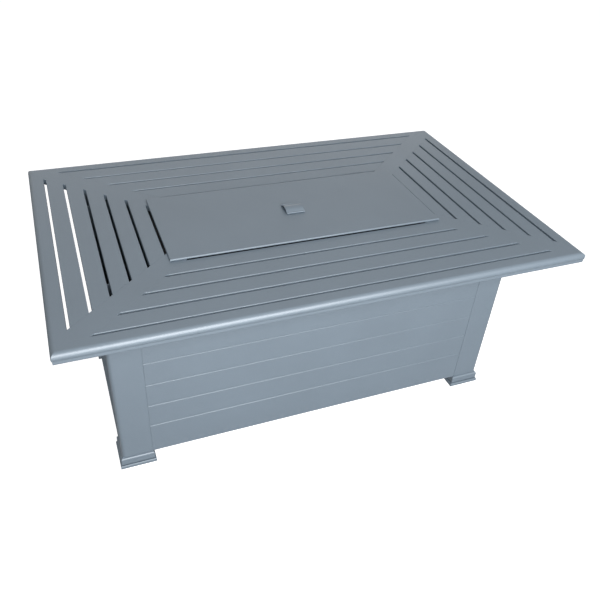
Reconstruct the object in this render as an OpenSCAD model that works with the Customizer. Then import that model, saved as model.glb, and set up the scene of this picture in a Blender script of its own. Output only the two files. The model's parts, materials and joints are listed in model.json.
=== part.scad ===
// Gas fire pit table: slatted aluminium top with mitre bars, lidded burner, plank base with a tank door.
// Millimetres. Origin on the floor under the middle of the table, +X to the right end, -Y to the front.

/* [Top] */
// Length of the table top
top_l = 1470; // [1420:10:1540]
// Width of the table top
top_w = 932; // [900:4:1000]
// Height of the boards above the floor
table_h = 620; // [604:2:680]
// Thickness of the boards and mitre bars
board_t = 18; // [14:1:22]
// Wall of the hollow boards
board_wall = 2; // [2:0.1:3]
// Radius of the boards' long top edges
board_r = 1.8; // [0.5:0.1:2]
// Width of the boards across the ends
end_board_w = 47.3; // [44:0.1:50]
// Number of boards at each end
end_boards = 5; // [5:1:6]
// Width of the boards along the sides
side_board_w = 53.5; // [50:0.1:56]
// Number of boards along each side
side_boards = 4; // [3:1:4]
// Width of the slots between boards
slot_w = 7.5; // [5:0.5:10]
// Width of the diagonal mitre bars
mitre_w = 61; // [50:1:70]
// Reach of a mitre bar past the opening's corner, where it carries the lid
mitre_tip = 44; // [41:1:45]
// Radius of a mitre bar's long top edges
bar_r = 0.6; // [0.3:0.1:1.5]

/* [Rim] */
// Width of the rim rails at the ends
rim_end_w = 42.8; // [38:0.1:50]
// Width of the rim rails along the sides
rim_side_w = 40.2; // [38:0.1:50]
// Height of the rim rails
rim_t = 32; // [30:1:40]
// Radius of the rim's rounded nose
rim_nose_r = 13; // [10:0.5:14]
// Angle below level at which the nose ends, above the set-back band
rim_waist_a = 36; // [20:1:50]
// Radius under the rim's band
rim_foot_r = 4.5; // [3.6:0.1:7]
// Wall of the rim extrusion
rim_wall = 2.5; // [2:0.1:3.5]
// Corner radius of the rim seen from above
corner_r = 4; // [2:0.5:8]

/* [Lid] */
// Gap between the lid and the opening's edge at the ends
lid_gap_x = 6.2; // [4:0.1:8]
// Gap between the centred lid and the opening's edge along the sides
lid_gap_y = 8.8; // [7:0.1:10]
// Distance that the lid lies nearer the front than the middle
lid_shift = 5.8; // [0:0.1:6]
// Height of the lid's turned-down edge
lid_h = 5; // [4:0.5:6]
// Bend radius of the lid's edge
lid_r = 2.8; // [2.6:0.1:3.5]
// Thickness of the lid sheet
lid_sheet = 2; // [1.5:0.1:2.5]
// Gap under the lid's edge
lid_lift = 1; // [0.5:0.1:2]
// Radius of the rubber bumpers
bumper_r = 4.5; // [3:0.1:5]
// Distance of the bumpers from the opening's edges
bumper_in = 24; // [23:0.5:25]
// Length of the lid stiffeners
stiff_l = 560; // [400:10:640]
// Share of the opening's half width at which each stiffener lies
stiff_share = 0.5; // [0.4:0.01:0.6]
// Width of a stiffener channel
stiff_w = 34; // [20:1:50]
// Depth of a stiffener channel
stiff_h = 11; // [6:0.5:14]
// Sheet of a stiffener channel
stiff_t = 1.5; // [1:0.1:2]
// Width of the pressed handle
handle_w = 57; // [45:1:80]
// Span of the handle's arch
handle_span = 52; // [44:1:60]
// Rise of the handle's arch
handle_rise = 10; // [8:0.5:14]
// Sheet of the handle
handle_t = 2; // [1.5:0.1:2.5]
// Radius of the bead rolled along the handle's two feet
handle_bead = 2.2; // [1.5:0.1:3]

/* [Base] */
// Overhang of the top past the base at the ends
overhang_end = 120; // [100:5:140]
// Overhang of the top past the base along the sides
overhang_side = 167; // [145:1:175]
// Width of the corner posts
post_w = 90; // [80:1:100]
// Radius of a post's outer corner
post_r = 12; // [6:1:16]
// Wall of the posts
post_wall = 3; // [2.6:0.1:4]
// Height of the feet
foot_h = 40; // [34:1:50]
// Width of a foot's lower plate
foot_w = 106; // [104:1:116]
// Width of a foot's upper block
foot_block_w = 98; // [95:0.5:102]
// Height of a foot's lower plate
foot_plate_h = 11; // [8:0.5:14]
// Radius round the top of the lower plate
foot_plate_r = 3; // [2:0.5:4]
// Radius round the top of the upper block
foot_block_r = 6; // [3:0.5:8]
// Height of the grooves above and below the upper block
foot_groove_h = 2.5; // [1.5:0.1:4]
// Set-back of the neck under the post
foot_neck = 2; // [1:0.1:2.2]
// Wall of the cast feet
foot_wall = 8; // [5:0.5:10]
// Height of the spigot inside the post
spigot_h = 28; // [16:1:40]
// Height of the lowest plank
kick_h = 107; // [90:1:120]
// Height of the other planks
plank_h = 80.5; // [76:0.5:86]
// Thickness of the planks
plank_t = 12; // [10:0.5:16]
// Wall of the hollow planks
plank_wall = 1.5; // [1.2:0.1:2]
// Chamfer along the seams of the planks
plank_c = 0.9; // [0.4:0.1:1.2]
// Gap at the seams between planks
seam = 0.4; // [0.3:0.1:0.8]
// Set-back of the planks from the posts' faces
plank_set = 0.4; // [0:0.1:2]

/* [Frame] */
// Leg of the upper angle rails
rail_a = 30; // [25:1:36]
// Leg of the lower angle rails
sill_a = 25; // [20:1:30]
// Thickness of the angle rails
rail_t = 3; // [2.5:0.1:4]
// Width of the cross bars
cross_w = 28; // [24:1:30]
// Height of the cross bars
cross_h = 25; // [20:1:26]
// Wall of the cross bars
cross_wall = 2; // [1.5:0.1:3]
// Thickness of the bottom tray
tray_t = 1.5; // [1:0.1:3]
// Inner radius of the ring that seats the gas cylinder
tank_ring_r = 106; // [104:1:112]
// Height of the cylinder ring
tank_ring_h = 8; // [5:0.5:9]
// Sheet of the cylinder ring
tank_ring_t = 2; // [1.5:0.1:3]
// Radius of the room for the gas cylinder
tank_r = 156; // [152:1:160]
// Distance from the room for the cylinder to the door
tank_door_gap = 42; // [30:1:60]
// Radius of the vent holes in the tray
vent_r = 9; // [6:0.5:12]

/* [Burner] */
// Gap between the pan's flange and the opening's edge
pan_gap = 6; // [4:0.5:8]
// Width of the pan's flange
pan_flange = 30; // [30:1:36]
// Depth of the pan
pan_depth = 48; // [44:1:52]
// Sheet of the pan
pan_t = 1.2; // [1:0.1:1.6]
// Length of the burner tubes
burner_l = 620; // [500:10:660]
// Radius of the burner tubes
tube_r = 10; // [8:0.5:11]
// Wall of the burner tubes
tube_wall = 1.2; // [0.8:0.1:2]
// Height of the burner tubes' axis above the pan's floor
burner_lift = 20; // [16:0.5:22]
// Radius of the flame ports
port_r = 1.3; // [1:0.1:1.6]
// Distance between flame ports
port_pitch = 26; // [22:1:40]
// Radius of the burner's inlet pipe
inlet_r = 9; // [8:0.5:10]
// Length of the inlet pipe below the pan
inlet_l = 22; // [16:1:26]
// Outer radius of the air mixer
mixer_r = 14; // [13:0.5:16]
// Length of the air mixer
mixer_l = 50; // [46:1:56]
// Height of the air windows
window_h = 15; // [10:1:16]
// Width of the air windows
window_w = 11; // [8:1:13]
// Size of a lava rock
rock_s = 30; // [24:1:32]
// Distance between lava rocks
rock_pitch = 36; // [35:1:40]

/* [Controls] */
// Place of the control plate along the back
ctrl_x = -100; // [-110:1:-90]
// Length of the control plate
ctrl_l = 190; // [170:2:210]
// Height of the control plate
ctrl_h = 66; // [60:1:70]
// Thickness of the control plate
ctrl_t = 1.5; // [1:0.1:2]
// Distance of the knob and the button from the plate's middle
ctrl_step = 45; // [40:1:50]
// Radius of the knob
knob_r = 22; // [19:0.5:24]
// Depth of the knob
knob_h = 24; // [20:0.5:30]
// Travel of the knob when it is pushed
knob_push = 3.5; // [2:0.1:4]
// Gap that is left behind the pushed knob
knob_gap = 1; // [0.5:0.1:2]
// Radius of the valve stem
stem_r = 4; // [3.5:0.1:4.5]
// Radius of the igniter's button
button_r = 9; // [7:0.1:9]
// Travel of the igniter's button
button_travel = 3.5; // [2:0.5:4]
// Radius of the gas supply tube
supply_r = 5; // [4:0.5:5.5]
// Bend radius of the supply tube
supply_bend = 25; // [20:1:28]
// Radius of the valve's threaded inlet
gas_inlet_r = 7.9; // [7.5:0.1:8.2]
// Length of the valve's threaded inlet
gas_inlet_l = 14; // [10:1:18]

/* [Door] */
// Gap round the door
door_gap = 2.5; // [2:0.1:4]
// Thickness of the door's inner sheet
liner_t = 2; // [1.5:0.1:3]
// Margin of the inner sheet from the door's edges
liner_margin = 7; // [5:1:15]
// Length of a hinge
hinge_l = 50; // [40:1:60]
// Width of a hinge leaf
leaf_w = 26; // [20:1:32]
// Thickness of a hinge leaf
leaf_t = 2; // [1.5:0.1:2.4]
// Radius of a hinge knuckle
knuckle_r = 4; // [3.8:0.1:5]
// Radius of a hinge pin
pin_r = 2; // [1.6:0.1:2.2]
// Length of the door pull
pull_l = 128; // [100:2:160]
// Radius of the door pull
pull_r = 5; // [4:0.5:6]
// Finger room behind the pull
pull_gap = 22; // [18:1:28]
// Distance of the pull from the door's free edge
pull_edge = 40; // [30:1:60]

/* [Hidden] */
$fn = 48;

// Clearances and the overrun of cuts
fit = 0.3;
running = 0.05;
cut = 2;

// Levels
board_z = table_h - board_t;
rim_z = table_h - rim_t;
lid_z = table_h + lid_lift;
lid_top = lid_z + lid_h;
bar_top = board_z - rail_t;
pan_floor = bar_top - pan_depth + pan_t;
pan_under = pan_floor - pan_t;
burner_z = pan_floor + burner_lift;
tray_z = foot_h + sill_a;
tray_top = tray_z + tray_t;

// Plan of the top: the rim's inner edge, the opening and the mitre line from corner to corner
end_pitch = end_board_w + slot_w;
side_pitch = side_board_w + slot_w;
rim_x = top_l / 2 - rim_end_w;
rim_y = top_w / 2 - rim_side_w;
open_x = rim_x - end_boards * end_pitch;
open_y = rim_y - side_boards * side_pitch;
mitre_a = atan((top_w / 2 - open_y) / (top_l / 2 - open_x));
mitre_run = norm([top_l / 2 - open_x, top_w / 2 - open_y]) + mitre_tip;
function mitre_y(x) = top_w / 2 + (x - top_l / 2) * tan(mitre_a) - mitre_w / 2 / cos(mitre_a);
function mitre_x(y) = top_l / 2 + (y - top_w / 2 - mitre_w / 2 / cos(mitre_a)) / tan(mitre_a);

// Plan of the base: faces of the planks and the posts' inner faces
base_l = top_l - 2 * overhang_end;
base_w = top_w - 2 * overhang_side;
face_x = base_l / 2 - plank_set;
face_y = base_w / 2 - plank_set;
inner_x = face_x - plank_t;
inner_y = face_y - plank_t;
post_x = base_l / 2 - post_w;
post_y = base_w / 2 - post_w;

// Planks from the floor up; the top one takes what is left
upper_planks = round((board_z - foot_h - kick_h) / plank_h);
function plank_z(k) = k == 0 ? foot_h : k > upper_planks ? board_z : foot_h + kick_h + (k - 1) * plank_h;
header_z = plank_z(upper_planks);

// Frame, tray and cylinder
foot_block_h = foot_h - foot_plate_h - 2 * foot_groove_h;
cross_x = open_x - pan_gap - pan_flange / 2;
cross_y = inner_y - rail_t - fit;
pan_x = open_x - pan_gap;
pan_y = open_y - pan_gap;
pan_in_x = pan_x - pan_flange;
pan_in_y = pan_y - pan_flange;
notch_clear = 2;
liner_x = inner_x - liner_t;
tray_gap = 2;
tray_right = liner_x - tray_gap;
tank_x = liner_x - tank_door_gap - tank_r;
tray_holes_share = [-0.82, -0.62, -0.42, -0.22];
tray_rows_share = [-0.55, 0, 0.55];
ring_holes = 4;
screw_share = [-0.85, -0.3, 0.3, 0.85];

// Screws
bolt_r = 3;
bolt_head_r = 5.5;
bolt_head_h = 3;
small_r = 2;
small_head_r = 3.8;
small_head_h = 1.8;

// Burner fittings
burner_share = 0.446;
burner_y = burner_share * pan_in_y;
cross_tube_r = 0.85 * tube_r;
hub_r = 15;
hub_h = 22;
foot_tab = 24;
port_margin = 20;
elbow_s = 22;
jet_r = 4;
jet_l = 8;
nut_r = 8.5;
nut_l = 9;
mixer_wall = 3;
elbow_z = pan_under - fit - mixer_l - elbow_s / 2;
shield_w = 190;
shield_side = 10.75;
shield_d = 2 * (pan_in_y - shield_side);
shield_gap = 16;
shield_t = 1;
shield_x = pan_in_x - shield_w / 2;
stud_r = 5;
stud_edge = 20;

// Controls: the knob's axis, the valve and the igniter
ctrl_z = header_z - plank_h / 2;
knob_x = ctrl_x + ctrl_step;
button_x = ctrl_x - ctrl_step;
valve_w = 44;
valve_d = 38;
valve_up = 22;
valve_down = 30;
bush_r = 7.5;
valve_nut_r = 11;
valve_nut_h = 3;
bush_out = 3.4;
port_l = 8;
outlet_x = knob_x + 8;
outlet_z = elbow_z;
probe_x = knob_x - 13;
probe_up = 12;
pilot_y = burner_y - tube_r - 12;
ceramic_r = 3;
ceramic_up = 20;
ceramic_l = 32;
collar_r = 5;
collar_h = 2;
tip_r = 1;
tip_l = 10;
probe_r = 2;
probe_l = 36;
lead_r = 1.6;
wire_r = 1.2;
lead_bend = 14;
bracket_t = 1.5;
bracket_d = 18;
bracket_h = 14;
bracket_edge = 10;
washer_r = 8;
washer_t = 1.5;
recess_r = 14;
recess_d = 6.5;
grip_r = 15;
skirt_h = 6;
grip_w = 9;
mark_w = 1.2;
mark_d = 0.6;
knob_y = face_y + ctrl_t + knob_push + knob_gap;
bezel_r = 14;
bezel_h = 4;
igniter_r = 11;
igniter_l = 60;
button_h = 8;
button_seat = 6;
terminal_r = 2.5;
terminal_l = 6;
inlet_hex_r = 10.5;
inlet_hex_h = 8;
inlet_back = 24;

// Door
door_y = post_y - door_gap;
door_z = foot_h + door_gap;
door_top = header_z - door_gap;
hinge_x = base_l / 2 + knuckle_r + fit;
hinge_y = post_y - door_gap / 2;
hinge_share = [0.16, 0.84];
hinge_clear = 4.5;
knuckle_n = 3;
rivet_r = 2;
rivet_h = 0.8;
rivet_share = [0.2, 0.8];
pull_share = 0.58;
pull_leg_r = 3.5;
catch_w = 40;
catch_d = 13;
catch_t = 14;
strike_t = 1.5;

slate = [0.42, 0.47, 0.51];
steel = [0.75, 0.75, 0.74];
zinc = [0.62, 0.63, 0.65];
brass = [0.72, 0.6, 0.33];
black = [0.1, 0.1, 0.11];
red = [0.55, 0.1, 0.08];
lava = [0.16, 0.13, 0.12];

// Copies a piece drawn at the back right into another corner
module corner(sx, sy) {
    mirror([sx < 0 ? 1 : 0, 0, 0])
        mirror([0, sy < 0 ? 1 : 0, 0])
            children();
}

// Turns a shape so that its axis, drawn along +Z, points to the back
module to_back() {
    rotate([-90, 0, 0]) children();
}

module rounded_plan(l, w, r) {
    square([l - 2 * r, w], center = true);
    square([l, w - 2 * r], center = true);
    for (sx = [-1, 1], sy = [-1, 1])
        translate([sx * (l / 2 - r), sy * (w / 2 - r)]) circle(r);
}

// Section with its two top edges rounded: boards, bars, the lid and the feet
module top_rounded(w, h, r) {
    square([w, h - r]);
    translate([r, 0]) square([w - 2 * r, h]);
    for (x = [r, w - r])
        translate([x, h - r]) circle(r);
}

// Rim section: a rounded nose over a flat band that is set back and rounded under
module rim_section(w, inset) {
    low = rim_t - rim_nose_r;
    band = rim_nose_r * (1 - cos(rim_waist_a));
    translate([rim_nose_r, low]) circle(rim_nose_r - inset);
    translate([band + rim_foot_r, rim_foot_r]) circle(rim_foot_r - inset);
    translate([band + inset, rim_foot_r]) square([w - band - 2 * inset, low - rim_foot_r]);
    translate([band + rim_foot_r, inset]) square([w - band - rim_foot_r - inset, low - inset]);
    translate([rim_nose_r, inset]) square([w - rim_nose_r - inset, rim_t - 2 * inset]);
}

module rim_profile(w) {
    difference() {
        rim_section(w, 0);
        rim_section(w, rim_wall);
    }
}

// Rail along x with its outer face at y = 0: hollow, and mitred to the rails beside it
module rail(l, w, next_w) {
    color(slate)
        intersection() {
            translate([-l / 2, 0, 0]) rotate([90, 0, 90]) linear_extrude(l) rim_profile(w);
            translate([0, 0, -cut])
                linear_extrude(rim_t + 2 * cut)
                    intersection() {
                        polygon([[-l / 2, 0], [l / 2, 0], [l / 2 - next_w, w], [next_w - l / 2, w]]);
                        translate([0, w]) rounded_plan(l, 2 * w, corner_r);
                    }
        }
}

module side_rail() {
    translate([0, -top_w / 2, rim_z]) rail(top_l, rim_side_w, rim_end_w);
}

module end_rail() {
    translate([-top_l / 2, 0, rim_z]) rotate(-90) rail(top_w, rim_end_w, rim_side_w);
}

module rim_front() { side_rail(); }
module rim_back() { mirror([0, 1, 0]) side_rail(); }
module rim_left() { end_rail(); }
module rim_right() { mirror([1, 0, 0]) end_rail(); }

module board_profile(w) {
    difference() {
        top_rounded(w, board_t, board_r);
        translate([board_wall, board_wall]) square([w - 2 * board_wall, board_t - 2 * board_wall]);
    }
}

// Mitre bar at the back right: from the rim's inner corner to a square end past the opening's corner
module mitre_bar() {
    color(slate)
        intersection() {
            translate([top_l / 2, top_w / 2, board_z])
                rotate(mitre_a)
                    translate([-mitre_run, -mitre_w / 2, 0])
                        rotate([90, 0, 90]) linear_extrude(mitre_run) top_rounded(mitre_w, board_t, bar_r);
            translate([0, 0, board_z - cut]) cube([rim_x, rim_y, board_t + 2 * cut]);
        }
}

module mitre_bar_front_left() { corner(-1, -1) mitre_bar(); }
module mitre_bar_front_right() { corner(1, -1) mitre_bar(); }
module mitre_bar_back_left() { corner(-1, 1) mitre_bar(); }
module mitre_bar_back_right() { corner(1, 1) mitre_bar(); }

// Boards between the mitre bars, their ends cut along the mitre lines
module end_board_group() {
    color(slate)
        for (k = [0:end_boards - 1]) {
            x1 = rim_x - slot_w - k * end_pitch;
            x0 = x1 - end_board_w;
            intersection() {
                translate([x0, rim_y, board_z])
                    rotate([90, 0, 0]) linear_extrude(2 * rim_y) board_profile(end_board_w);
                translate([0, 0, board_z - cut])
                    linear_extrude(board_t + 2 * cut)
                        polygon([[x0, -mitre_y(x0)], [x1, -mitre_y(x1)], [x1, mitre_y(x1)], [x0, mitre_y(x0)]]);
            }
        }
}

module side_board_group() {
    color(slate)
        for (k = [0:side_boards - 1]) {
            y1 = rim_y - slot_w - k * side_pitch;
            y0 = y1 - side_board_w;
            intersection() {
                translate([-rim_x, y0, board_z])
                    rotate([90, 0, 90]) linear_extrude(2 * rim_x) board_profile(side_board_w);
                translate([0, 0, board_z - cut])
                    linear_extrude(board_t + 2 * cut)
                        polygon([[-mitre_x(y0), y0], [mitre_x(y0), y0], [mitre_x(y1), y1], [-mitre_x(y1), y1]]);
            }
        }
}

module right_boards() { end_board_group(); }
module left_boards() { mirror([1, 0, 0]) end_board_group(); }
module back_boards() { side_board_group(); }
module front_boards() { mirror([0, 1, 0]) side_board_group(); }

// Post section seen from above, its rounded outer corner at the origin
module post_plan(inset) {
    translate([-post_r, -post_r]) circle(post_r - inset);
    polygon([[-post_r, -inset], [-post_w + inset, -inset], [-post_w + inset, -post_w + inset],
        [-inset, -post_w + inset], [-inset, -post_r], [-post_r, -post_r]]);
}

module post() {
    color(slate)
        translate([base_l / 2, base_w / 2, foot_h])
            linear_extrude(board_z - foot_h)
                difference() {
                    post_plan(0);
                    post_plan(post_wall);
                }
}

module post_front_left() { corner(-1, -1) post(); }
module post_front_right() { corner(1, -1) post(); }
module post_back_left() { corner(-1, 1) post(); }
module post_back_right() { corner(1, 1) post(); }

// Cast plinth foot: plate and block with rounded tops, a groove between them and a neck under the post
module foot_tier(w, z, h, r) {
    translate([-w / 2, z]) top_rounded(w, h, r);
}

module foot_profile() {
    block_z = foot_plate_h + foot_groove_h;
    foot_tier(foot_w, 0, foot_plate_h, foot_plate_r);
    translate([-post_w / 2, 0]) square([post_w, block_z + cut]);
    foot_tier(foot_block_w, block_z, foot_block_h, foot_block_r);
    translate([foot_neck - post_w / 2, 0]) square([post_w - 2 * foot_neck, foot_h]);
}

module foot() {
    inside = foot_block_w - 2 * foot_wall;
    color(slate) {
        translate([base_l / 2 - post_w / 2, base_w / 2 - post_w / 2, 0])
            difference() {
                intersection() {
                    translate([0, foot_w / 2, 0]) rotate([90, 0, 0]) linear_extrude(foot_w) foot_profile();
                    translate([-foot_w / 2, 0, 0]) rotate([90, 0, 90]) linear_extrude(foot_w) foot_profile();
                }
                translate([-inside / 2, -inside / 2, -cut]) cube([inside, inside, foot_h - foot_wall + cut]);
            }
        translate([base_l / 2, base_w / 2, foot_h])
            linear_extrude(spigot_h)
                difference() {
                    post_plan(post_wall + fit);
                    post_plan(2 * post_wall + fit);
                }
    }
}

module foot_front_left() { corner(-1, -1) foot(); }
module foot_front_right() { corner(1, -1) foot(); }
module foot_back_left() { corner(-1, 1) foot(); }
module foot_back_right() { corner(1, 1) foot(); }

// Plank section: face at x = 0, height along y, with chamfers that make the seam lines
module plank_profile(h) {
    difference() {
        polygon([[0, plank_c], [plank_c, 0], [plank_t, 0], [plank_t, h], [plank_c, h], [0, h - plank_c]]);
        translate([plank_wall, plank_wall]) square([plank_t - 2 * plank_wall, h - 2 * plank_wall]);
    }
}

// Planks k0 to k1, drawn with their face towards -Y at y = 0 and centred along x
module plank_wall_panel(l, k0, k1, low, high) {
    for (k = [k0:k1]) {
        z0 = k == k0 ? low : plank_z(k) + seam / 2;
        z1 = k == k1 ? high : plank_z(k + 1) - seam / 2;
        translate([-l / 2, 0, z0])
            rotate([90, 0, 90]) linear_extrude(l) plank_profile(z1 - z0);
    }
}

module front_planks() {
    color(slate)
        translate([0, -face_y, 0])
            plank_wall_panel(2 * (post_x - seam), 0, upper_planks, foot_h, board_z);
}

module back_planks() {
    color(slate)
        difference() {
            translate([0, face_y, 0])
                rotate(180)
                    plank_wall_panel(2 * (post_x - seam), 0, upper_planks, foot_h, board_z);
            translate([knob_x, inner_y - cut, ctrl_z])
                to_back() cylinder(h = plank_t + 2 * cut, r = bush_r + fit);
            translate([button_x, inner_y - cut, ctrl_z])
                to_back() cylinder(h = plank_t + 2 * cut, r = igniter_r + fit);
        }
}

module left_planks() {
    color(slate)
        translate([-face_x, 0, 0])
            rotate(-90)
                plank_wall_panel(2 * (post_y - seam), 0, upper_planks, foot_h, board_z);
}

module right_header() {
    color(slate)
        translate([face_x, 0, 0])
            rotate(90)
                plank_wall_panel(2 * (post_y - seam), upper_planks, upper_planks, header_z + seam / 2, board_z);
}

// Angle rails behind the planks, drawn for the front: upright leg on the planks, flat leg on top
module angle_rail(a, z_top) {
    color(zinc)
        difference() {
            translate([-post_x + fit, -inner_y, z_top - a])
                rotate([90, 0, 90])
                    linear_extrude(2 * (post_x - fit))
                        polygon([[0, 0], [rail_t, 0], [rail_t, a - rail_t], [a, a - rail_t], [a, a], [0, a]]);
            for (s = screw_share)
                translate([s * post_x, -inner_y - cut, z_top - a / 2])
                    to_back() cylinder(h = rail_t + 2 * cut, r = bolt_r + fit);
        }
}

module top_rail_front() { angle_rail(rail_a, board_z); }
module top_rail_back() { mirror([0, 1, 0]) angle_rail(rail_a, board_z); }
module bottom_rails() {
    angle_rail(sill_a, tray_z);
    mirror([0, 1, 0]) angle_rail(sill_a, tray_z);
}

// Square cross tubes that carry the ends of the burner pan
module cross_bar() {
    color(zinc)
        translate([cross_x - cross_w / 2, cross_y, bar_top - cross_h])
            rotate([90, 0, 0])
                linear_extrude(2 * cross_y)
                    difference() {
                        square([cross_w, cross_h]);
                        translate([cross_wall, cross_wall])
                            square([cross_w - 2 * cross_wall, cross_h - 2 * cross_wall]);
                    }
}

module cross_bar_right() { cross_bar(); }
module cross_bar_left() { mirror([1, 0, 0]) cross_bar(); }

// Bottom tray with vent holes, and the ring on it that seats the gas cylinder
module bottom_tray() {
    color(zinc)
        difference() {
            translate([0, 0, tray_z])
                linear_extrude(tray_t) {
                    square([2 * (post_x - fit), 2 * (inner_y - fit)], center = true);
                    translate([-inner_x + fit, -post_y + fit])
                        square([inner_x - fit + tray_right, 2 * (post_y - fit)]);
                }
            for (sx = tray_holes_share, sy = tray_rows_share)
                translate([sx * post_x, sy * post_y, tray_z - cut]) cylinder(h = tray_t + 2 * cut, r = vent_r);
            for (k = [0:ring_holes - 1])
                translate([tank_x, 0, tray_z - cut])
                    rotate(k * 360 / ring_holes)
                        translate([tank_ring_r / 2, 0, 0]) cylinder(h = tray_t + 2 * cut, r = vent_r);
        }
}

module tank_ring() {
    color(zinc)
        translate([tank_x, 0, tray_top])
            difference() {
                cylinder(h = tank_ring_h, r = tank_ring_r + tank_ring_t);
                translate([0, 0, -cut]) cylinder(h = tank_ring_h + 2 * cut, r = tank_ring_r);
            }
}

// Stainless pan that hangs by its flange on the cross bars; its corners clear the ends of the mitre bars
module burner_pan() {
    color(steel)
        difference() {
            union() {
                translate([-pan_in_x, -pan_in_y, pan_under])
                    cube([2 * pan_in_x, 2 * pan_in_y, pan_depth]);
                translate([-pan_x, -pan_y, bar_top]) cube([2 * pan_x, 2 * pan_y, pan_t]);
            }
            translate([pan_t - pan_in_x, pan_t - pan_in_y, pan_floor])
                cube([2 * (pan_in_x - pan_t), 2 * (pan_in_y - pan_t), pan_depth + cut]);
            for (sx = [-1, 1], sy = [-1, 1]) {
                corner(sx, sy)
                    translate([open_x, open_y, bar_top - cut])
                        rotate(mitre_a)
                            translate([-mitre_tip - notch_clear, -mitre_w, 0])
                                cube([mitre_tip + notch_clear, 2 * mitre_w, pan_t + 2 * cut]);
                translate([sx * cross_x, sy * pan_in_y / 2, bar_top - cut])
                    cylinder(h = pan_t + 2 * cut, r = small_r + fit);
            }
            translate([0, 0, pan_under - cut]) cylinder(h = pan_t + 2 * cut, r = inlet_r + fit);
            translate([button_x, pilot_y, pan_under - cut]) cylinder(h = pan_t + 2 * cut, r = ceramic_r + fit);
            translate([probe_x, pilot_y, pan_under - cut]) cylinder(h = pan_t + 2 * cut, r = probe_r + fit);
        }
}

// H burner: two long tubes with flame ports, a thinner cross tube through a hub, the inlet pipe and end feet
module burner_tubes(long_r, cross_r, inset) {
    for (side = [-1, 1])
        translate([inset - burner_l / 2, side * burner_y, burner_z])
            rotate([0, 90, 0]) cylinder(h = burner_l - 2 * inset, r = long_r);
    translate([0, -burner_y, burner_z]) to_back() cylinder(h = 2 * burner_y, r = cross_r);
}

module gas_burner() {
    ports = floor((burner_l - 2 * port_margin) / port_pitch);
    color(steel)
        difference() {
            union() {
                burner_tubes(tube_r, cross_tube_r, 0);
                translate([0, 0, burner_z - hub_h / 2]) cylinder(h = hub_h, r = hub_r);
                translate([0, 0, pan_under - inlet_l])
                    cylinder(h = burner_z - pan_under + inlet_l, r = inlet_r);
                for (sx = [-1, 1], sy = [-1, 1])
                    translate([sx * (burner_l / 2 - foot_tab), sy * burner_y - tube_r / 2, pan_floor])
                        translate([sx > 0 ? 0 : -tube_wall, 0, 0])
                            cube([tube_wall, tube_r, burner_lift - tube_r / 2]);
            }
            burner_tubes(tube_r - tube_wall, cross_tube_r - tube_wall, tube_wall);
            translate([0, 0, pan_under - inlet_l - cut])
                cylinder(h = burner_z - pan_under + inlet_l, r = inlet_r - tube_wall);
            for (k = [0:ports], side = [-1, 1])
                translate([(k - ports / 2) * port_pitch, side * burner_y, burner_z])
                    cylinder(h = tube_r + cut, r = port_r);
        }
}

// Air mixer with its windows, screwed on the inlet pipe, and the jet elbow below it
module air_mixer() {
    top = pan_under - fit;
    color(brass) {
        difference() {
            translate([0, 0, top - mixer_l]) cylinder(h = mixer_l, r = mixer_r);
            translate([0, 0, top - inlet_l - fit]) cylinder(h = inlet_l + fit + cut, r = inlet_r + running);
            translate([0, 0, top - mixer_l + mixer_wall])
                cylinder(h = mixer_l - mixer_wall - inlet_l, r = inlet_r - tube_wall);
            translate([0, 0, top - mixer_l - cut]) cylinder(h = mixer_wall + 2 * cut, r = jet_r + running);
            for (a = [0, 90])
                rotate(a)
                    translate([-mixer_r - cut, -window_w / 2, top - mixer_l + 2 * mixer_wall])
                        cube([2 * (mixer_r + cut), window_w, window_h]);
        }
        translate([-elbow_s / 2, -elbow_s / 2, elbow_z - elbow_s / 2]) cube(elbow_s);
        translate([0, 0, elbow_z]) cylinder(h = elbow_s / 2 + jet_l, r = jet_r);
        translate([-elbow_s / 2 - nut_l, 0, elbow_z])
            rotate([0, 90, 0])
                difference() {
                    cylinder(h = nut_l, r = nut_r, $fn = 6);
                    translate([0, 0, -cut]) cylinder(h = nut_l / 2 + cut, r = supply_r + running);
                }
    }
}

// Supply tube from the valve's outlet to the jet elbow, with one bend
module supply_path(r, over) {
    end_x = -elbow_s / 2 - nut_l / 2;
    from_y = inner_y - valve_d - port_l;
    translate([outlet_x, supply_bend, outlet_z]) to_back() cylinder(h = from_y - supply_bend + over, r = r);
    translate([outlet_x + supply_bend, supply_bend, outlet_z])
        rotate(180) rotate_extrude(angle = 90) translate([supply_bend, 0]) circle(r);
    translate([outlet_x + supply_bend, 0, outlet_z])
        rotate([0, 90, 0]) cylinder(h = end_x - outlet_x - supply_bend + over, r = r);
}

module supply_tube() {
    color(zinc)
        difference() {
            supply_path(supply_r, 0);
            supply_path(supply_r - tube_wall, cut);
        }
}

// Lava rocks: lumps cut from turned blocks, set in rows between the burner tubes
chance_share = [127.1, 311.7, 74.7, 43758.5];
near_share = 0.75;
far_share = 1.65;
mid_share = 0.96;
rock_height_share = [0.66, 0.06];
rock_block_share = [1.18, 1.24];
rock_turns = [40, 35, 90];
rock_rows = [-burner_y - far_share * rock_pitch, -burner_y - near_share * rock_pitch,
    -mid_share * rock_pitch, 0,
    mid_share * rock_pitch, burner_y + near_share * rock_pitch, burner_y + far_share * rock_pitch];
function chance(i, j, k) =
    let (v = sin([i, j, k] * [chance_share[0], chance_share[1], chance_share[2]]) * chance_share[3])
    v - floor(v);
function rock_h(i, j) = rock_s * (rock_height_share[0] + rock_height_share[1] * chance(i, j, 0));
function rock_turn(i, j, k) = [for (n = [0:2]) rock_turns[n] * chance(i, j, k + n)];
rock_cols = floor((pan_in_x - rock_pitch / 2) / rock_pitch);
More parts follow.
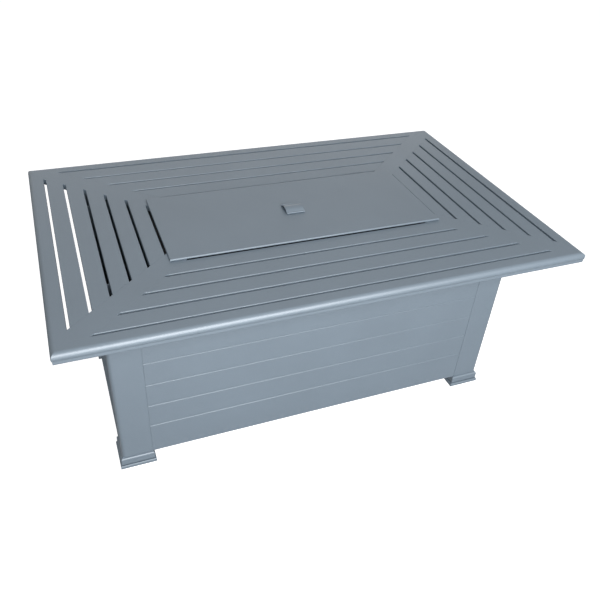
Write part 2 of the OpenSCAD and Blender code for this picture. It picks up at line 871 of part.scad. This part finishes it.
function rock_clear(x, y) =
    abs(y) < pan_in_y - rock_s / 2
    && (abs(abs(y) - burner_y) > tube_r + rock_s / 2 || abs(x) > burner_l / 2 + rock_s)
    && (abs(x) > tube_r + rock_s / 2 + fit || abs(y) > burner_y)
    && (x < button_x - rock_pitch || x > probe_x + rock_pitch || y < 0 || y > burner_y);

module rock(i, j) {
    h = rock_h(i, j);
    intersection() {
        rotate(rock_turn(i, j, 1)) cube(rock_block_share[0] * h, center = true);
        rotate([rock_turns[0], 0, 0] + rock_turn(i, j, 4)) cube(rock_block_share[1] * h, center = true);
        translate([-rock_s / 2, -rock_s / 2, -h / 2]) cube(rock_s);
    }
}

module lava_rocks() {
    color(lava)
        for (i = [-rock_cols:rock_cols], j = [0:len(rock_rows) - 1])
            if (rock_clear(i * rock_pitch, rock_rows[j]))
                translate([i * rock_pitch, rock_rows[j], pan_floor + rock_h(i, j) / 2])
                    rock(i, j);
}

// Heat shield over the gas cylinder, hung on four studs under the pan
module heat_shield() {
    color(steel) {
        translate([shield_x - shield_w / 2, -shield_d / 2, pan_under - shield_gap - shield_t])
            cube([shield_w, shield_d, shield_t]);
        for (sx = [-1, 1], sy = [-1, 1])
            translate([shield_x + sx * (shield_w / 2 - stud_edge), sy * (shield_d / 2 - stud_edge),
                pan_under - shield_gap]) cylinder(h = shield_gap, r = stud_r);
    }
}

// Gas valve behind the back planks: body, threaded bush with its nut, outlet, sensor port and inlet
module gas_valve() {
    back = inner_y - fit;
    color(brass) {
        difference() {
            union() {
                translate([knob_x - valve_w / 2, back - valve_d, ctrl_z - valve_down])
                    cube([valve_w, valve_d, valve_up + valve_down]);
                translate([knob_x, back, ctrl_z])
                    to_back() cylinder(h = face_y + ctrl_t + bush_out - back, r = bush_r);
                translate([outlet_x, back - valve_d - port_l + fit, outlet_z])
                    to_back() cylinder(h = port_l + cut, r = nut_r);
                translate([probe_x, back - valve_d - port_l, ctrl_z + probe_up])
                    to_back() cylinder(h = port_l + cut, r = 2 * probe_r);
                translate([knob_x, inner_y - inlet_back, ctrl_z - valve_down - inlet_hex_h])
                    cylinder(h = inlet_hex_h + cut, r = inlet_hex_r, $fn = 6);
                translate([knob_x, inner_y - inlet_back, ctrl_z - valve_down - inlet_hex_h - gas_inlet_l])
                    cylinder(h = gas_inlet_l + cut, r = gas_inlet_r);
            }
            translate([knob_x, back - valve_d / 2, ctrl_z])
                to_back() cylinder(h = valve_d + plank_t + ctrl_t + bush_out, r = stem_r + running);
            translate([knob_x, inner_y - inlet_back, ctrl_z - valve_down - inlet_hex_h - gas_inlet_l - cut])
                cylinder(h = gas_inlet_l + cut, r = gas_inlet_r / 2);
        }
        translate([knob_x, face_y + ctrl_t, ctrl_z])
            to_back()
                difference() {
                    cylinder(h = valve_nut_h, r = valve_nut_r, $fn = 6);
                    translate([0, 0, -cut]) cylinder(h = valve_nut_h + 2 * cut, r = bush_r + running);
                }
    }
}

// Stem that turns and pushes with the knob
module valve_stem() {
    front = knob_y + recess_d + knob_h / 2;
    back = inner_y - valve_d / 2 + knob_push;
    color(zinc)
        translate([knob_x, back, ctrl_z]) to_back() cylinder(h = front - back, r = stem_r);
}

// Thrust washer inside the knob's recess: it is pushed with the knob but doesn't turn
module thrust_washer() {
    color(zinc)
        translate([knob_x, knob_y + recess_d - fit - washer_t, ctrl_z])
            to_back()
                difference() {
                    cylinder(h = washer_t, r = washer_r);
                    translate([0, 0, -cut]) cylinder(h = washer_t + 2 * cut, r = stem_r + running);
                }
}

module control_knob() {
    slope = skirt_h / 2;
    color(black)
        translate([knob_x, knob_y, ctrl_z])
            to_back()
                difference() {
                    union() {
                        rotate_extrude()
                            polygon([[0, 0], [knob_r, 0], [knob_r, skirt_h / 2], [knob_r - slope, skirt_h],
                                [grip_r, skirt_h], [grip_r - slope / 2, knob_h - slope],
                                [grip_r - slope, knob_h - slope / 2], [0, knob_h - slope / 2]]);
                        translate([-grip_w / 2, -knob_r + slope, skirt_h / 2])
                            cube([grip_w, 2 * (knob_r - slope), knob_h - skirt_h / 2]);
                    }
                    translate([0, 0, -cut]) cylinder(h = recess_d + cut, r = recess_r);
                    translate([0, 0, -cut]) cylinder(h = recess_d + knob_h / 2 + 2 * cut, r = stem_r);
                    translate([-mark_w / 2, grip_r / 2, knob_h - mark_d]) cube([mark_w, knob_r, mark_d + cut]);
                }
}

module control_plate() {
    color(steel)
        translate([ctrl_x, face_y, ctrl_z])
            to_back()
                linear_extrude(ctrl_t)
                    difference() {
                        rounded_plan(ctrl_l, ctrl_h, small_head_r);
                        translate([ctrl_step, 0]) circle(bush_r + fit);
                        translate([-ctrl_step, 0]) circle(igniter_r + fit);
                        for (sx = [-1, 1], sy = [-1, 1])
                            translate([sx * (ctrl_l / 2 - 2 * small_head_r),
                                sy * (ctrl_h / 2 - 2 * small_head_r)])
                                circle(small_r + running);
                    }
}

// Push-button igniter: barrel through the plate, bezel outside and a terminal at its inner end
module igniter_body() {
    outer = face_y + ctrl_t;
    color(black)
        translate([button_x, outer, ctrl_z])
            to_back()
                difference() {
                    union() {
                        translate([0, 0, -igniter_l]) cylinder(h = igniter_l, r = igniter_r);
                        cylinder(h = bezel_h, r = bezel_r);
                        translate([0, 0, -igniter_l - terminal_l])
                            cylinder(h = terminal_l + cut, r = terminal_r);
                    }
                    translate([0, 0, -button_seat - button_travel])
                        cylinder(h = button_seat + button_travel + bezel_h + cut, r = button_r + fit);
                }
}

module igniter_button() {
    color(red)
        translate([button_x, face_y + ctrl_t, ctrl_z])
            to_back()
                translate([0, 0, fit - button_seat])
                    cylinder(h = button_seat + button_h, r = button_r);
}

// A lead that runs from the back wall to under the pilot and turns up through the pan
module lead(x, from_y, z, r, up_z) {
    translate([x, pilot_y + lead_bend, z]) to_back() cylinder(h = from_y - pilot_y - lead_bend, r = r);
    translate([x, pilot_y + lead_bend, z + lead_bend])
        rotate([0, 90, 0]) rotate(-90) rotate_extrude(angle = 90) translate([lead_bend, 0]) circle(r);
    translate([x, pilot_y, z + lead_bend]) cylinder(h = up_z - z - lead_bend, r = r);
}

module ignition_lead() {
    color(black)
        lead(button_x, face_y + ctrl_t - igniter_l - terminal_l - fit, ctrl_z, lead_r,
            pan_floor + bracket_t + ceramic_up - ceramic_l - fit);
}

module spark_electrode() {
    base = pan_floor + bracket_t;
    color("white")
        translate([button_x, pilot_y, 0]) {
            translate([0, 0, base + ceramic_up - ceramic_l]) cylinder(h = ceramic_l, r = ceramic_r);
            translate([0, 0, base]) cylinder(h = collar_h, r = collar_r);
            translate([0, 0, base + ceramic_up]) cylinder(h = tip_l, r = tip_r);
        }
}

module thermocouple() {
    base = pan_floor + bracket_t;
    top = base + ceramic_up;
    color(brass) {
        lead(probe_x, inner_y - fit - valve_d - port_l - fit, ctrl_z + probe_up, wire_r, top - probe_l + cut);
        translate([probe_x, pilot_y, top - probe_l]) cylinder(h = probe_l, r = probe_r);
        translate([probe_x, pilot_y, base]) cylinder(h = collar_h, r = collar_r);
    }
}

module pilot_bracket() {
    x0 = button_x - bracket_edge;
    l = probe_x - button_x + 2 * bracket_edge;
    color(steel)
        translate([0, 0, pan_floor])
            difference() {
                union() {
                    translate([x0, pilot_y - bracket_d / 2, 0]) cube([l, bracket_d, bracket_t]);
                    translate([x0, pilot_y - bracket_d / 2 - bracket_t, 0]) cube([l, bracket_t, bracket_h]);
                }
                translate([button_x, pilot_y, -cut]) cylinder(h = bracket_t + 2 * cut, r = ceramic_r + running);
                translate([probe_x, pilot_y, -cut]) cylinder(h = bracket_t + 2 * cut, r = probe_r + running);
            }
}

// Door in the right end: planks, inner sheet with the strike, pull, hinges and catch
module door_planks() {
    color(slate)
        translate([face_x, 0, 0])
            rotate(90)
                plank_wall_panel(2 * door_y, 0, upper_planks - 1, door_z, door_top);
}

module door_liner() {
    catch_z = (door_z + door_top) / 2;
    color(zinc) {
        translate([liner_x, liner_margin - door_y, door_z + liner_margin])
            cube([liner_t, 2 * (door_y - liner_margin), door_top - door_z - 2 * liner_margin]);
        translate([liner_x - strike_t, liner_margin - door_y, catch_z - catch_w / 2])
            cube([strike_t, catch_d, catch_w]);
    }
}

module door_catch() {
    color(black)
        translate([liner_x - strike_t - fit - catch_t, -post_y, (door_z + door_top) / 2 - catch_w / 2])
            cube([catch_t, catch_d + door_gap, catch_w]);
}

module door_pull() {
    y = pull_edge - door_y;
    z = door_z + pull_share * (door_top - door_z);
    color(steel) {
        translate([face_x + pull_gap + pull_r, y, z - pull_l / 2]) cylinder(h = pull_l, r = pull_r);
        for (side = [-1, 1])
            translate([face_x, y, z + side * (pull_l / 2 - 2 * pull_r)])
                rotate([0, 90, 0]) cylinder(h = pull_gap + pull_r, r = pull_leg_r);
    }
}

// Hinge parts: leaf drawn from the pin's axis towards +Y, knuckle pieces chosen by their numbers
module hinge_leaf(leaf_x, pieces) {
    piece = hinge_l / knuckle_n;
    difference() {
        union() {
            translate([leaf_x - hinge_x, hinge_clear, 0]) cube([leaf_t, leaf_w, hinge_l]);
            for (k = pieces) {
                translate([0, 0, k * piece + fit / 2]) cylinder(h = piece - fit, r = knuckle_r);
                translate([leaf_x - hinge_x, 0, k * piece + fit / 2])
                    cube([leaf_t, hinge_clear + cut, piece - fit]);
            }
        }
        translate([0, 0, -cut]) cylinder(h = hinge_l + 2 * cut, r = pin_r + running);
    }
    for (s = rivet_share)
        translate([leaf_x - hinge_x + leaf_t, hinge_clear + leaf_w / 2, s * hinge_l])
            rotate([0, 90, 0]) cylinder(h = rivet_h, r = rivet_r);
}

module at_hinges() {
    for (s = hinge_share)
        translate([hinge_x, hinge_y, door_z + s * (door_top - door_z) - hinge_l / 2])
            children();
}

module door_hinge_leaves() {
    color(zinc) at_hinges() mirror([0, 1, 0]) hinge_leaf(face_x, [1]);
}

module post_hinge_leaves() {
    color(zinc)
        at_hinges() {
            hinge_leaf(base_l / 2, [0, 2]);
            translate([0, 0, -rivet_h]) cylinder(h = hinge_l + 2 * rivet_h, r = pin_r);
            translate([0, 0, -2 * rivet_h]) cylinder(h = 2 * rivet_h - fit, r = knuckle_r - fit);
            translate([0, 0, hinge_l + fit]) cylinder(h = 2 * rivet_h - fit, r = knuckle_r - fit);
        }
}

// Lid: a sheet with its edge bent down, resting on bumpers over the mitre bars' ends
module lid_shell(l, w, h, r) {
    intersection() {
        translate([-l / 2, -w / 2, 0]) rotate([90, 0, 90]) linear_extrude(l) top_rounded(w, h, r);
        translate([-l / 2, w / 2, 0]) rotate([90, 0, 0]) linear_extrude(w) top_rounded(l, h, r);
    }
}

module lid_panel() {
    l = 2 * (open_x - lid_gap_x);
    w = 2 * (open_y - lid_gap_y);
    color(slate)
        translate([0, -lid_shift, lid_z])
            difference() {
                lid_shell(l, w, lid_h, lid_r);
                translate([0, 0, -cut])
                    lid_shell(l - 2 * lid_sheet, w - 2 * lid_sheet, lid_h - lid_sheet + cut, lid_r - lid_sheet);
            }
}

module lid_handle() {
    arch_r = (pow(handle_span / 2, 2) + pow(handle_rise, 2)) / (2 * handle_rise);
    drop = arch_r - handle_rise;
    color(slate)
        translate([-handle_w / 2, -lid_shift, lid_top])
            rotate([90, 0, 90])
                linear_extrude(handle_w) {
                    intersection() {
                        translate([0, -drop])
                            difference() {
                                circle(arch_r);
                                circle(arch_r - handle_t);
                            }
                        translate([-handle_span / 2, 0]) square([handle_span, handle_rise]);
                    }
                    for (side = [-1, 1])
                        translate([side * handle_span / 2, handle_bead]) circle(handle_bead);
                }
}

module lid_stiffeners() {
    top = lid_top - lid_sheet;
    color(slate)
        for (side = [-1, 1])
            translate([-stiff_l / 2, side * stiff_share * open_y - stiff_w / 2 - lid_shift, top - stiff_h])
                rotate([90, 0, 90])
                    linear_extrude(stiff_l)
                        difference() {
                            square([stiff_w, stiff_h]);
                            translate([stiff_t, stiff_t]) square([stiff_w - 2 * stiff_t, stiff_h]);
                        }
}

module lid_bumpers() {
    color(black)
        for (sx = [-1, 1], sy = [-1, 1])
            translate([sx * (open_x - bumper_in), sy * (open_y - bumper_in), table_h])
                cylinder(h = lid_lift + lid_h - lid_sheet, r = bumper_r);
}

// Bolts that hold the angle rails to the planks, drawn with the head on the inside
module frame_bolt() {
    translate([0, -rail_t - bolt_head_h, 0])
        to_back() {
            cylinder(h = bolt_head_h, r = bolt_head_r);
            cylinder(h = bolt_head_h + rail_t, r = bolt_r);
        }
}

module frame_screws() {
    color(zinc)
        for (side = [0, 1], s = screw_share, z = [board_z - rail_a / 2, tray_z - sill_a / 2])
            mirror([0, side, 0])
                translate([s * post_x, inner_y, z]) frame_bolt();
}

module small_screw(shank) {
    cylinder(h = small_head_h, r = small_head_r);
    translate([0, 0, -shank]) cylinder(h = shank + cut / 2, r = small_r);
}

module small_screws() {
    color(zinc) {
        for (sx = [-1, 1], sy = [-1, 1]) {
            translate([ctrl_x + sx * (ctrl_l / 2 - 2 * small_head_r), face_y + ctrl_t,
                ctrl_z + sy * (ctrl_h / 2 - 2 * small_head_r)]) to_back() small_screw(ctrl_t);
            translate([sx * cross_x, sy * pan_in_y / 2, bar_top + pan_t]) small_screw(pan_t);
        }
    }
}

rim_front();
rim_back();
rim_left();
rim_right();
mitre_bar_front_left();
mitre_bar_front_right();
mitre_bar_back_left();
mitre_bar_back_right();
front_boards();
back_boards();
left_boards();
right_boards();
post_front_left();
post_front_right();
post_back_left();
post_back_right();
foot_front_left();
foot_front_right();
foot_back_left();
foot_back_right();
front_planks();
back_planks();
left_planks();
right_header();
top_rail_front();
top_rail_back();
cross_bar_left();
cross_bar_right();
bottom_rails();
bottom_tray();
tank_ring();
burner_pan();
gas_burner();
air_mixer();
supply_tube();
lava_rocks();
heat_shield();
gas_valve();
valve_stem();
thrust_washer();
control_knob();
control_plate();
igniter_body();
igniter_button();
ignition_lead();
spark_electrode();
thermocouple();
pilot_bracket();
door_planks();
door_liner();
door_pull();
door_hinge_leaves();
post_hinge_leaves();
door_catch();
lid_panel();
lid_handle();
lid_stiffeners();
lid_bumpers();
frame_screws();
small_screws();
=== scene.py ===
"""Slate-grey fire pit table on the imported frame: finishes, fine detail, light and camera. Metres, +Z up."""
import json
import math

import bpy
from mathutils import Matrix, Vector

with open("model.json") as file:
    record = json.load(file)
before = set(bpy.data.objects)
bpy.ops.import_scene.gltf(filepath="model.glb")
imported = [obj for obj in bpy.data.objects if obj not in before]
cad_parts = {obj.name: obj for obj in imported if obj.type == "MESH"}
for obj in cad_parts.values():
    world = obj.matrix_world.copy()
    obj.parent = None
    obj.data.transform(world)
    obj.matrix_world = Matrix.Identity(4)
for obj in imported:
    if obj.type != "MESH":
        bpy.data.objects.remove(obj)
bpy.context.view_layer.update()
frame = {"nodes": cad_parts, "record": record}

# Colours as linear red, green and blue
SLATE = (0.170, 0.217, 0.264)
STEEL = (0.55, 0.55, 0.54)
ZINC = (0.46, 0.47, 0.49)
BRASS = (0.62, 0.46, 0.20)
BLACK = (0.018, 0.018, 0.020)
RED = (0.36, 0.02, 0.015)
LAVA = (0.032, 0.024, 0.021)
CERAMIC = (0.74, 0.72, 0.67)
RUST = (0.075, 0.036, 0.024)

# The floor as the camera, reflections and its own bounced light see it, and its glow in the first two
FLOOR = (0.66, 0.66, 0.66)
FLOOR_GLOW = 0.92
REFLECTED_FLOOR = (0.80, 0.80, 0.80)
REFLECTED_GLOW = 0.2
BOUNCE = (0.14, 0.14, 0.14)
FLOOR_HALF = 12.0
FLOOR_DROP = 0.0005

# Even light of the room
ROOM = (0.97, 0.98, 1.0)
ROOM_STRENGTH = 0.14

# Soft lights: name, turn and height in degrees, distance, width and height in metres, power in watts
LIGHTS = (
    ("front", -1.0, 31.0, 3.5, 2.8, 1.6, 114.0),
    ("low", 4.0, 9.0, 4.0, 3.0, 1.2, 54.0),
    ("behind", 172.0, 9.0, 4.0, 5.0, 2.6, 38.0),
)
AIM = Vector((0, 0, 0.4))

# Camera fitted to the photograph: place, direction and roll
CAMERA_AT = (-0.6564, -1.6060, 1.5843)
CAMERA_TURN = -23.69
CAMERA_UP = 36.99
CAMERA_ROLL = 4.23
LENS = 38.68
SENSOR = 36.0
FAR_CLIP = 100.0


class Nodes:
    """A material's node tree with short calls for the nodes that the finishes use."""

    def __init__(self, name):
        self.material = bpy.data.materials.new(name)
        self.material.use_nodes = True
        self.tree = self.material.node_tree
        self.tree.nodes.clear()
        self.output = self.tree.nodes.new("ShaderNodeOutputMaterial")

    def add(self, kind, inputs=None, **settings):
        node = self.tree.nodes.new("ShaderNode" + kind)
        for key, value in settings.items():
            setattr(node, key, value)
        for key, value in (inputs or {}).items():
            if isinstance(value, bpy.types.NodeSocket):
                self.tree.links.new(value, node.inputs[key])
            else:
                node.inputs[key].default_value = value
        return node

    def object_place(self, stretch=(1, 1, 1)):
        place = self.add("TexCoord").outputs["Object"]
        return self.add("Mapping", {"Vector": place, "Scale": stretch}).outputs["Vector"]

    def noise(self, scale, detail=2.0, roughness=0.5, stretch=(1, 1, 1)):
        place = self.object_place(stretch)
        inputs = {"Vector": place, "Scale": scale, "Detail": detail, "Roughness": roughness}
        return self.add("TexNoise", inputs).outputs["Fac"]

    def cells(self, scale, feature="F1"):
        return self.add("TexVoronoi", {"Vector": self.object_place(), "Scale": scale}, feature=feature)

    def span(self, value, low, high, start=0.0, end=1.0):
        inputs = {"Value": value, "From Min": start, "From Max": end, "To Min": low, "To Max": high}
        return self.add("MapRange", inputs).outputs["Result"]

    def sum(self, a, b, operation="ADD"):
        return self.add("Math", {0: a, 1: b}, operation=operation).outputs["Value"]

    def blend(self, amount, a, b):
        inputs = {"Factor": amount}
        node = self.add("Mix", inputs, data_type="RGBA")
        for socket, value in ((node.inputs[6], a), (node.inputs[7], b)):
            if isinstance(value, bpy.types.NodeSocket):
                self.tree.links.new(value, socket)
            else:
                socket.default_value = (*value, 1.0)
        return node.outputs[2]

    def edges(self, radius):
        """0 on flat faces, rising towards 1 at edges closer than the radius."""
        soft = self.add("Bevel", {"Radius": radius}, samples=4).outputs["Normal"]
        hard = self.add("NewGeometry").outputs["Normal"]
        same = self.add("VectorMath", {0: soft, 1: hard}, operation="DOT_PRODUCT").outputs["Value"]
        return self.span(same, 1.0, 0.0, 0.75, 0.995)

    def bump(self, height, distance, strength=1.0, radius=0.0):
        inputs = {"Height": height, "Distance": distance, "Strength": strength}
        if radius:
            inputs["Normal"] = self.add("Bevel", {"Radius": radius}, samples=4).outputs["Normal"]
        return self.add("Bump", inputs).outputs["Normal"]

    def surface(self, **inputs):
        keys = {key.replace("_", " "): value for key, value in inputs.items()}
        shader = self.add("BsdfPrincipled", keys)
        self.tree.links.new(shader.outputs["BSDF"], self.output.inputs["Surface"])
        return self.material


def dim(color, factor):
    return tuple(c * factor for c in color)


def powder_coat(name, color, metal):
    """Satin powder coat: cloudy tone, flakes, fine grain, edges painted lighter as a painted highlight, less
    gloss at flat angles.
    """
    n = Nodes(name)
    cloud = n.span(n.noise(5.0, 3.0), 0.0, 1.0, 0.3, 0.7)
    base = n.blend(cloud, dim(color, 0.965), dim(color, 1.035))
    fleck = n.span(n.noise(2600.0, 1.0), 0.0, 1.0, 0.45, 0.75)
    base = n.blend(n.sum(fleck, 0.35, "MULTIPLY"), base, dim(color, 1.5))
    # Edges painted lighter: a painted highlight along every edge.
    base = n.blend(n.sum(n.edges(0.0014), 0.12, "MULTIPLY"), base, dim(color, 1.6))
    flat = n.add("LayerWeight", {"Blend": 0.5}).outputs["Facing"]
    dull = n.span(flat, 0.0, 0.4, 0.75, 0.97)
    gloss = n.span(flat, 1.0, 0.35, 0.2, 0.55)
    rough = n.sum(n.span(n.noise(900.0, 2.0), 0.35, 0.45), dull)
    skin = n.sum(n.noise(1400.0, 2.0), n.sum(n.noise(160.0, 1.0), 0.8, "MULTIPLY"))
    normal = n.bump(skin, 0.00012, 0.6, radius=0.0006)
    return n.surface(
        Base_Color=base, Roughness=rough, Normal=normal, Metallic=metal, Specular_IOR_Level=gloss)


def zinc_plate(name):
    """Zinc-plated steel: faint spangles, edges painted lighter as a painted highlight, and a soft sheen."""
    n = Nodes(name)
    tone = n.span(n.cells(90.0).outputs["Color"], 0.0, 1.0)
    base = n.blend(tone, dim(ZINC, 0.85), dim(ZINC, 1.12))
    # Edges painted lighter: a painted highlight along every edge.
    base = n.blend(n.sum(n.edges(0.0008), 0.4, "MULTIPLY"), base, dim(ZINC, 1.6))
    rough = n.span(n.noise(70.0, 3.0), 0.30, 0.48)
    normal = n.bump(n.noise(900.0, 2.0), 0.00005, 0.4, radius=0.0004)
    return n.surface(Base_Color=base, Roughness=rough, Normal=normal, Metallic=1.0)


def brushed_steel(name, along=0):
    """Stainless steel with brush marks along one axis and a little staining."""
    n = Nodes(name)
    stretch = [900.0, 900.0, 900.0]
    stretch[along] = 12.0
    marks = n.noise(1.0, 3.0, 0.6, stretch)
    stain = n.span(n.noise(9.0, 3.0), 0.0, 1.0, 0.4, 0.75)
    base = n.blend(stain, STEEL, dim(STEEL, 0.86))
    rough = n.span(marks, 0.22, 0.42)
    normal = n.bump(marks, 0.00003, 0.5, radius=0.0004)
    return n.surface(Base_Color=base, Roughness=rough, Normal=normal, Metallic=1.0)


def cast_brass(name):
    n = Nodes(name)
    tarnish = n.span(n.noise(60.0, 4.0), 0.0, 1.0, 0.35, 0.7)
    base = n.blend(tarnish, BRASS, dim(BRASS, 0.62))
    # Edges painted lighter: a painted highlight along every edge.
    base = n.blend(n.sum(n.edges(0.0008), 0.5, "MULTIPLY"), base, dim(BRASS, 1.4))
    rough = n.span(tarnish, 0.28, 0.5)
    normal = n.bump(n.noise(700.0, 2.0), 0.00005, 0.5, radius=0.0004)
    return n.surface(Base_Color=base, Roughness=rough, Normal=normal, Metallic=1.0)


def moulded(name, color, rough_low, rough_high, grain=0.00004):
    """Moulded plastic, rubber or ceramic: fine grain, slight tone changes, softened edges and edges painted
    lighter as a painted highlight.
    """
    n = Nodes(name)
    tone = n.span(n.noise(40.0, 3.0), 0.0, 1.0, 0.35, 0.65)
    base = n.blend(tone, dim(color, 0.9), dim(color, 1.12))
    # Edges painted lighter: a painted highlight along every edge.
    base = n.blend(n.sum(n.edges(0.0008), 0.35, "MULTIPLY"), base, dim(color, 1.9))
    rough = n.span(n.noise(500.0, 2.0), rough_low, rough_high)
    normal = n.bump(n.noise(1500.0, 2.0), grain, 0.6, radius=0.0006)
    return n.surface(Base_Color=base, Roughness=rough, Normal=normal, Specular_IOR_Level=0.5)


def lava_stone(name):
    """Porous lava: rusty patches, pits with painted shade in them, and a rough skin."""
    n = Nodes(name)
    pits = n.span(n.cells(260.0).outputs["Distance"], 0.0, 1.0, 0.0, 0.55)
    rust = n.span(n.noise(55.0, 4.0), 0.0, 1.0, 0.45, 0.65)
    base = n.blend(rust, LAVA, RUST)
    # Pits painted darker: painted shade in the pores.
    base = n.blend(n.sum(pits, 0.8, "MULTIPLY"), dim(LAVA, 0.3), base)
    height = n.sum(pits, n.sum(n.noise(420.0, 4.0), 0.7, "MULTIPLY"))
    normal = n.bump(height, 0.0016, 1.0, radius=0.002)
    return n.surface(Base_Color=base, Roughness=0.92, Normal=normal)


def finish_nodes():
    """Each CAD node keeps its mesh and gets the finish of its material slot."""
    finishes = {
        "slate_coat": powder_coat("slate_coat", SLATE, 0.1),
        "black_coat": powder_coat("black_coat", BLACK, 0.0),
        "zinc_steel": zinc_plate("zinc_steel"),
        "stainless": brushed_steel("stainless"),
        "brass": cast_brass("brass"),
        "black_plastic": moulded("black_plastic", BLACK, 0.42, 0.58),
        "red_plastic": moulded("red_plastic", RED, 0.18, 0.28, 0.00001),
        "black_rubber": moulded("black_rubber", BLACK, 0.7, 0.85),
        "lava_stone": lava_stone("lava_stone"),
        "white_ceramic": moulded("white_ceramic", CERAMIC, 0.12, 0.2, 0.00001),
    }
    for part in frame["record"]["subparts"]:
        mesh = frame["nodes"][part["node"]].data
        mesh.materials.clear()
        mesh.materials.append(finishes[part["material_slot"]])


def ray_is(tree, *kinds):
    """1 for rays of the named kinds, 0 for the others."""
    rays = tree.nodes.new("ShaderNodeLightPath").outputs
    seen = rays["Is %s Ray" % kinds[0]]
    for kind in kinds[1:]:
        both = tree.nodes.new("ShaderNodeMath")
        both.operation = "MAXIMUM"
        tree.links.new(seen, both.inputs[0])
        tree.links.new(rays["Is %s Ray" % kind], both.inputs[1])
        seen = both.outputs["Value"]
    return seen


def make_floor():
    """Pale floor that looks white to the camera and in reflections, and keeps the table's shadow."""
    mesh = bpy.data.meshes.new("floor")
    corners = [(x * FLOOR_HALF, y * FLOOR_HALF, 0) for x, y in ((-1, -1), (1, -1), (1, 1), (-1, 1))]
    mesh.from_pydata(corners, [], [(0, 1, 2, 3)])
    floor = bpy.data.objects.new("floor", mesh)
    floor.location.z = -FLOOR_DROP
    bpy.context.scene.collection.objects.link(floor)
    n = Nodes("floor")

    def plain(color):
        return n.add("BsdfDiffuse", {"Color": (*color, 1.0)}).outputs["BSDF"]

    def pale(color, strength):
        glow = n.add("Emission", {"Color": (1, 1, 1, 1), "Strength": strength}).outputs["Emission"]
        return n.add("AddShader", {0: plain(color), 1: glow}).outputs["Shader"]

    def choose(rays, other, seen):
        return n.add("MixShader", {0: rays, 1: other, 2: seen}).outputs["Shader"]

    mirrored = ray_is(n.tree, "Glossy", "Transmission")
    look = choose(mirrored, plain(BOUNCE), pale(REFLECTED_FLOOR, REFLECTED_GLOW))
    look = choose(ray_is(n.tree, "Camera"), look, pale(FLOOR, FLOOR_GLOW))
    n.tree.links.new(look, n.output.inputs["Surface"])
    mesh.materials.append(n.material)


def make_world():
    """Even, weak light of the room; the camera and reflections see plain white."""
    world = bpy.data.worlds.new("studio")
    bpy.context.scene.world = world
    world.use_nodes = True
    tree = world.node_tree
    tree.nodes.clear()
    output = tree.nodes.new("ShaderNodeOutputWorld")
    mix = tree.nodes.new("ShaderNodeMixShader")
    tree.links.new(ray_is(tree, "Camera", "Glossy", "Transmission"), mix.inputs[0])
    for place, color, strength in ((1, ROOM, ROOM_STRENGTH), (2, (1.0, 1.0, 1.0), 1.0)):
        background = tree.nodes.new("ShaderNodeBackground")
        background.inputs["Color"].default_value = (*color, 1.0)
        background.inputs["Strength"].default_value = strength
        tree.links.new(background.outputs["Background"], mix.inputs[place])
    tree.links.new(mix.outputs["Shader"], output.inputs["Surface"])


def softbox(name, turn, up, distance, width, height, power):
    """Rectangular soft light aimed at the middle of the table; turn and up are as for the camera."""
    lamp = bpy.data.lights.new(name, "AREA")
    lamp.shape = "RECTANGLE"
    lamp.size = width
    lamp.size_y = height
    lamp.energy = power
    light = bpy.data.objects.new(name, lamp)
    bpy.context.scene.collection.objects.link(light)
    back = direction(turn, up)
    light.location = AIM + back * distance
    light.rotation_mode = "QUATERNION"
    light.rotation_quaternion = (-back).to_track_quat("-Z", "Y")


def direction(turn, up):
    a, e = math.radians(turn), math.radians(up)
    return Vector((math.sin(a) * math.cos(e), -math.cos(a) * math.cos(e), math.sin(e)))


def make_camera():
    camera = bpy.data.objects.new("camera", bpy.data.cameras.new("camera"))
    bpy.context.scene.collection.objects.link(camera)
    camera.data.sensor_width = SENSOR
    camera.data.lens = LENS
    back = direction(CAMERA_TURN, CAMERA_UP)
    side = Vector((0, 0, 1)).cross(back).normalized()
    up = back.cross(side)
    roll = math.radians(CAMERA_ROLL)
    right = math.cos(roll) * side + math.sin(roll) * up
    top = math.cos(roll) * up - math.sin(roll) * side
    camera.matrix_world = Matrix.Translation(CAMERA_AT) @ Matrix((right, top, back)).transposed().to_4x4()
    camera.data.clip_end = FAR_CLIP
    bpy.context.scene.camera = camera


finish_nodes()
make_floor()
make_world()
for light in LIGHTS:
    softbox(*light)
make_camera()
bpy.context.scene.view_settings.view_transform = "Standard"
